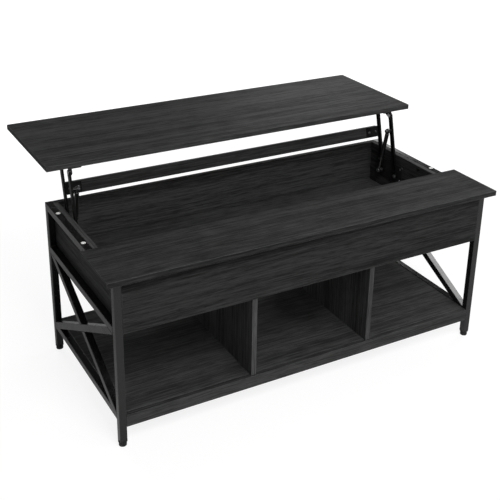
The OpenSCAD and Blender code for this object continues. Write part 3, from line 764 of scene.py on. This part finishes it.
def strut_cylinder(wide, length):
    """A rolled cylinder of a given radius, from its gland at z = 0 to its upper eye's centre: a rounded
    lower edge, a groove over the gland, a rounded shoulder, and a neck that ends inside the eye's ring."""
    edge, shoulder, gland, neck, into_eye = 1.4 * MM, 2.2 * MM, 0.8 * MM, 3.6 * MM, 1.5 * MM
    groove_r = wide - 0.3 * MM
    q = quarter_turn(6)
    lower = np.stack((wide - edge + edge * np.sin(q), edge - edge * np.cos(q)), 1)
    groove = [(wide, 7 * MM), (groove_r, 7.4 * MM), (groove_r, 8.4 * MM), (wide, 8.8 * MM)]
    start = length - EYE_R - 2.4 * MM
    upper = np.stack((wide - shoulder * (1 - np.cos(q)), start + shoulder * np.sin(q)), 1)
    return turned(np.vstack(((0, gland), (ROD_R + 0.5 * MM, gland), (ROD_R + 0.6 * MM, 0), lower, groove,
                             upper, (neck, length - EYE_R), (neck, length - EYE_R + into_eye),
                             (0, length - EYE_R + into_eye))), 48)


def strut_rod(piston, length):
    """A rod from inside its lower eye's ring to its piston, whose edges are broken."""
    start, under, edge = EYE_R - 1.5 * MM, length - 5 * MM, 0.3 * MM
    return turned(((0, start), (ROD_R, start), (ROD_R, under), (piston - edge, under),
                   (piston, length - 4.7 * MM), (piston, length - edge), (piston - edge, length),
                   (0, length)), 32)


def strut(hand):
    """A gas strut along the line from its lower eye to its upper one: a polished rod with its piston, a
    painted cylinder, and the bolt in the upper eye. A length along the line is its height, less what the
    leaning end adds, over the upward part of its direction."""
    low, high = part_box("strut_bolt_" + hand)
    upper = (np.array(low) + high) / 2
    same_side = [box for box in pin_boxes if (box[0][0] > 0) == (upper[0] > 0)]
    rear = max(same_side, key=lambda box: box[0][1])
    lower = (rear[0] + rear[1]) / 2
    body_low, body_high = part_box("strut_body_" + hand)
    lower[0] = upper[0] = (body_low[0] + body_high[0]) / 2
    rise = upper - lower
    way = rise / np.linalg.norm(rise)
    wide = (body_high[0] - body_low[0]) / 2
    rod_low, rod_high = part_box("strut_rod_" + hand)
    piston = (rod_high[0] - rod_low[0]) / 2
    rod_len = (rod_high[2] - lower[2] - piston * math.sqrt(1 - way[2] ** 2)) / way[2]
    body_len = (upper[2] - body_low[2] - wide * math.sqrt(1 - way[2] ** 2)) / way[2]
    cylinder = joined([stood(strut_cylinder(wide, body_len), upper - way * body_len, way),
                       stood(strut_eye(), upper, (1, 0, 0))])
    piece(f"strut_cylinder_{hand}_turned", cylinder, "strut_cylinder_" + hand,
          [finishes["strut_paint"]], ["strut_body_" + hand], sharp=35)
    rod = joined([stood(strut_rod(piston, rod_len), lower, way), stood(strut_eye(), lower, (1, 0, 0))])
    piece(f"strut_rod_{hand}_turned", rod, "strut_rod_" + hand,
          [finishes["polished_rod"]], ["strut_rod_" + hand], sharp=35)
    side = math.copysign(1, upper[0])
    inner = (-side, 0, 0)
    head_r, head_len = (high[2] - low[2]) / 2, abs(high[0] - low[0]) - EYE_T
    head = hex_socket_head(head_r, head_len, SOCKET_R, STRUT_SOCKET)
    shank = turned(((0, -EYE_T), (PIN_R, -EYE_T), (PIN_R, 0), (0, 0)), 32)
    bolt = joined([stood(head, upper - side * np.array((EYE_T / 2 + head_len, 0, 0)), inner),
                   stood(shank, upper - side * np.array((EYE_T / 2, 0, 0)), inner)])
    piece(f"strut_bolt_{hand}_turned", bolt, "strut_cylinder_" + hand,
          [finishes["dulled_steel"]], ["strut_bolt_" + hand], sharp=35)


for hand in ("left", "right"):
    strut(hand)


# ---------------------------------------------------------------- feet and bumpers

def foot(name):
    """A moulded foot: a rounded bottom edge, a barrel with a groove under the flange, and the stem above."""
    low, high = (np.array(c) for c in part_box(name))
    centre, r, h = (low + high) / 2, (high[0] - low[0]) / 2, high[2] - low[2]
    barrel, stem, top = r * 0.875, r * 0.45, h * 0.467
    edge, groove, step, stem_edge = 1.6 * MM, 0.9 * MM, 0.4 * MM, 0.6 * MM
    t = quarter_turn(6)
    curve = np.stack((barrel - edge + edge * np.sin(t), edge - edge * np.cos(t)), 1)
    lip = ((barrel, top - 5.2 * MM), (barrel - groove, top - 4.6 * MM), (barrel - groove, top - 3.4 * MM),
           (barrel, top - 2.8 * MM), (r - step, top - 2.2 * MM), (r, top - 1.8 * MM),
           (r, top - 0.3 * MM), (r - 0.3 * MM, top), (stem, top), (stem, h - stem_edge),
           (stem - stem_edge, h), (0, h))
    profile = np.vstack(((0, 0), curve, lip))
    piece(name + "_turned", stood(turned(profile, 48), (centre[0], centre[1], low[2])), "frame",
          [finishes[slot_of[name]]], [name], sharp=50)


for name in ("foot_front_left", "foot_front_right", "foot_rear_left", "foot_rear_right"):
    foot(name)


def bumper(low, high):
    """A round rubber pad: a wide foot, a sloping side, and a low dome 1 - (r/R)^4 on top."""
    r, h = (high[0] - low[0]) / 2, high[2] - low[2]
    foot_r, foot_h, dome_r = 0.82 * r, 0.12 * h, 0.66 * r
    part = np.linspace(1, 0, 9)
    dome = np.stack((part * dome_r, h * (0.6 + 0.4 * (1 - part ** 4))), 1)
    profile = np.vstack(((0, 0), (foot_r, 0), (foot_r, foot_h), dome))
    return stood(turned(profile, 36), ((low[0] + high[0]) / 2, (low[1] + high[1]) / 2, low[2]))


piece("bumper_pads", joined([bumper(low, high) for low, high in solids("bumpers")]), "frame",
      [finishes["bumper_rubber"]], ["bumpers"], sharp=60)


# ---------------------------------------------------------------- floor, world and lamps

WHITE = (1, 1, 1, 1)


def pale_floor():
    """A flat white floor that keeps the table's shadow. Straight to the eye it is mostly plain white, and
    whiter far away. Mirrored in the table, it is paler in front of the table than behind it."""
    reach = 14.0
    eye_share, mirror_share = 0.72, 0.8
    corners = [(-reach, -reach, 0), (reach, -reach, 0), (reach, reach, 0), (-reach, reach, 0)]
    mesh = bpy.data.meshes.new("studio_floor")
    mesh.from_pydata(corners, [], [(0, 1, 2, 3)])
    made = bpy.data.objects.new("studio_floor", mesh)
    bpy.context.scene.collection.objects.link(made)
    paint, tree, shader = material("studio_floor_paint", Roughness=0.9, Specular_IOR_Level=0.06,
                                   Base_Color=(0.75, 0.75, 0.75, 1))
    ray = node(tree, "ShaderNodeLightPath").outputs
    mirrored = reckon(tree, "MAXIMUM", ray["Is Glossy Ray"], ray["Is Transmission Ray"])
    seen = reckon(tree, "MAXIMUM", times(tree, ray["Is Camera Ray"], eye_share),
                  times(tree, mirrored, mirror_share))
    place = own_place(tree)
    away = node(tree, "ShaderNodeVectorMath", {0: place}, operation="LENGTH").outputs["Value"]
    back = node(tree, "ShaderNodeSeparateXYZ", {0: place}).outputs["Y"]
    in_mirror = spread(tree, back, -0.6, 0.1, 0.68, 0.22)
    to_eye = spread(tree, away, 1.6, 3.0, 1.2, 1.5)
    level = spread(tree, ray["Is Camera Ray"], 0.0, 1.0, in_mirror, to_eye)
    glow = node(tree, "ShaderNodeEmission", {"Color": WHITE, "Strength": level})
    mix = node(tree, "ShaderNodeMixShader", {0: seen, 1: shader.outputs[0], 2: glow.outputs[0]})
    tree.links.new(mix.outputs[0], tree.nodes["Material Output"].inputs[0])
    mesh.materials.append(paint)


def studio_world(strength):
    """White to the eye. Mirrored, it is white low down and dark overhead. For everything else it is an even
    soft light."""
    world = bpy.data.worlds.new("studio")
    bpy.context.scene.world = world
    world.use_nodes = True
    tree = world.node_tree
    tree.nodes.clear()
    ray = node(tree, "ShaderNodeLightPath").outputs
    mirrored = reckon(tree, "MAXIMUM", ray["Is Glossy Ray"], ray["Is Transmission Ray"])
    seen = reckon(tree, "MAXIMUM", ray["Is Camera Ray"], mirrored)
    soft = node(tree, "ShaderNodeBackground", {"Color": WHITE, "Strength": strength})
    way = node(tree, "ShaderNodeTexCoord").outputs["Generated"]
    high = node(tree, "ShaderNodeSeparateXYZ", {0: way}).outputs["Z"]
    ceiling = spread(tree, high, 0.06, 0.26, 1.0, 0.05)
    level = reckon(tree, "MAXIMUM", ray["Is Camera Ray"], ceiling)
    white = node(tree, "ShaderNodeBackground", {"Color": WHITE, "Strength": level})
    mix = node(tree, "ShaderNodeMixShader", {0: seen, 1: soft.outputs[0], 2: white.outputs[0]})
    out = node(tree, "ShaderNodeOutputWorld")
    tree.links.new(mix.outputs[0], out.inputs[0])


def lamp(name, place, target, size, radiance, card=False, mirrored=True):
    """A square soft box of an even radiance, turned towards its target. A card is only seen mirrored, and
    a fill is never mirrored."""
    light = bpy.data.lights.new(name, "AREA")
    light.shape, light.size = "SQUARE", size
    light.energy = radiance * math.pi * size ** 2
    made = bpy.data.objects.new(name, light)
    bpy.context.scene.collection.objects.link(made)
    made.visible_camera, made.visible_diffuse, made.visible_glossy = False, not card, mirrored
    made.location = place
    made.rotation_euler = (Vector(target) - Vector(place)).to_track_quat("-Z", "Y").to_euler()


pale_floor()
studio_world(strength=0.19)
middle = (0, 0, 0.4)
lamp("front_box", (-0.3, -2.2, 2.8), middle, size=1.1, radiance=13.9)
lamp("right_front_box", (1.4, -2.15, 2.4), (0.1, 0, 0.4), size=1.1, radiance=3.2)
lamp("rear_fill_box", (-0.5, 3.0, 0.85), middle, size=1.8, radiance=5.4, mirrored=False)
lamp("right_fill_box", (3.1, 0.9, 0.85), middle, size=1.6, radiance=5.4, mirrored=False)
lamp("overhead_box", (0.0, 0.2, 2.9), middle, size=1.6, radiance=0.4)
lamp("high_right_card", (2.1, -0.02, 2.36), (0.5, -0.1, 0.3), size=1.4, radiance=7.0, card=True)
lamp("rear_right_card", (1.7, 2.2, 1.35), (0.4, 0.1, 0.6), size=1.0, radiance=2.0, card=True)


# ---------------------------------------------------------------- camera

def camera(place, yaw, pitch, roll, lens, shift):
    """A camera at its place, turned by yaw, tipped down by pitch and rolled, all in degrees, with its lens
    shifted down to keep the uprights nearly upright."""
    yaw, pitch, roll = (math.radians(a) for a in (yaw, pitch, roll))
    ahead = Vector((math.sin(yaw) * math.cos(pitch), math.cos(yaw) * math.cos(pitch),
                    -math.sin(pitch)))
    level = Vector((math.cos(yaw), -math.sin(yaw), 0))
    upright = level.cross(ahead)
    right = level * math.cos(roll) + upright * math.sin(roll)
    up = upright * math.cos(roll) - level * math.sin(roll)
    view = bpy.data.cameras.new("camera")
    view.lens, view.sensor_width, view.shift_y = lens, 36.0, shift
    made = bpy.data.objects.new("camera", view)
    bpy.context.scene.collection.objects.link(made)
    turn = Matrix((right, up, -ahead)).transposed().to_4x4()
    made.matrix_world = Matrix.Translation(place) @ turn
    bpy.context.scene.camera = made


camera((-1.24, -2.2095, 1.552), yaw=29.37, pitch=22.45, roll=0.96, lens=66.7, shift=-0.15)
bpy.context.scene.view_settings.view_transform = "Standard"
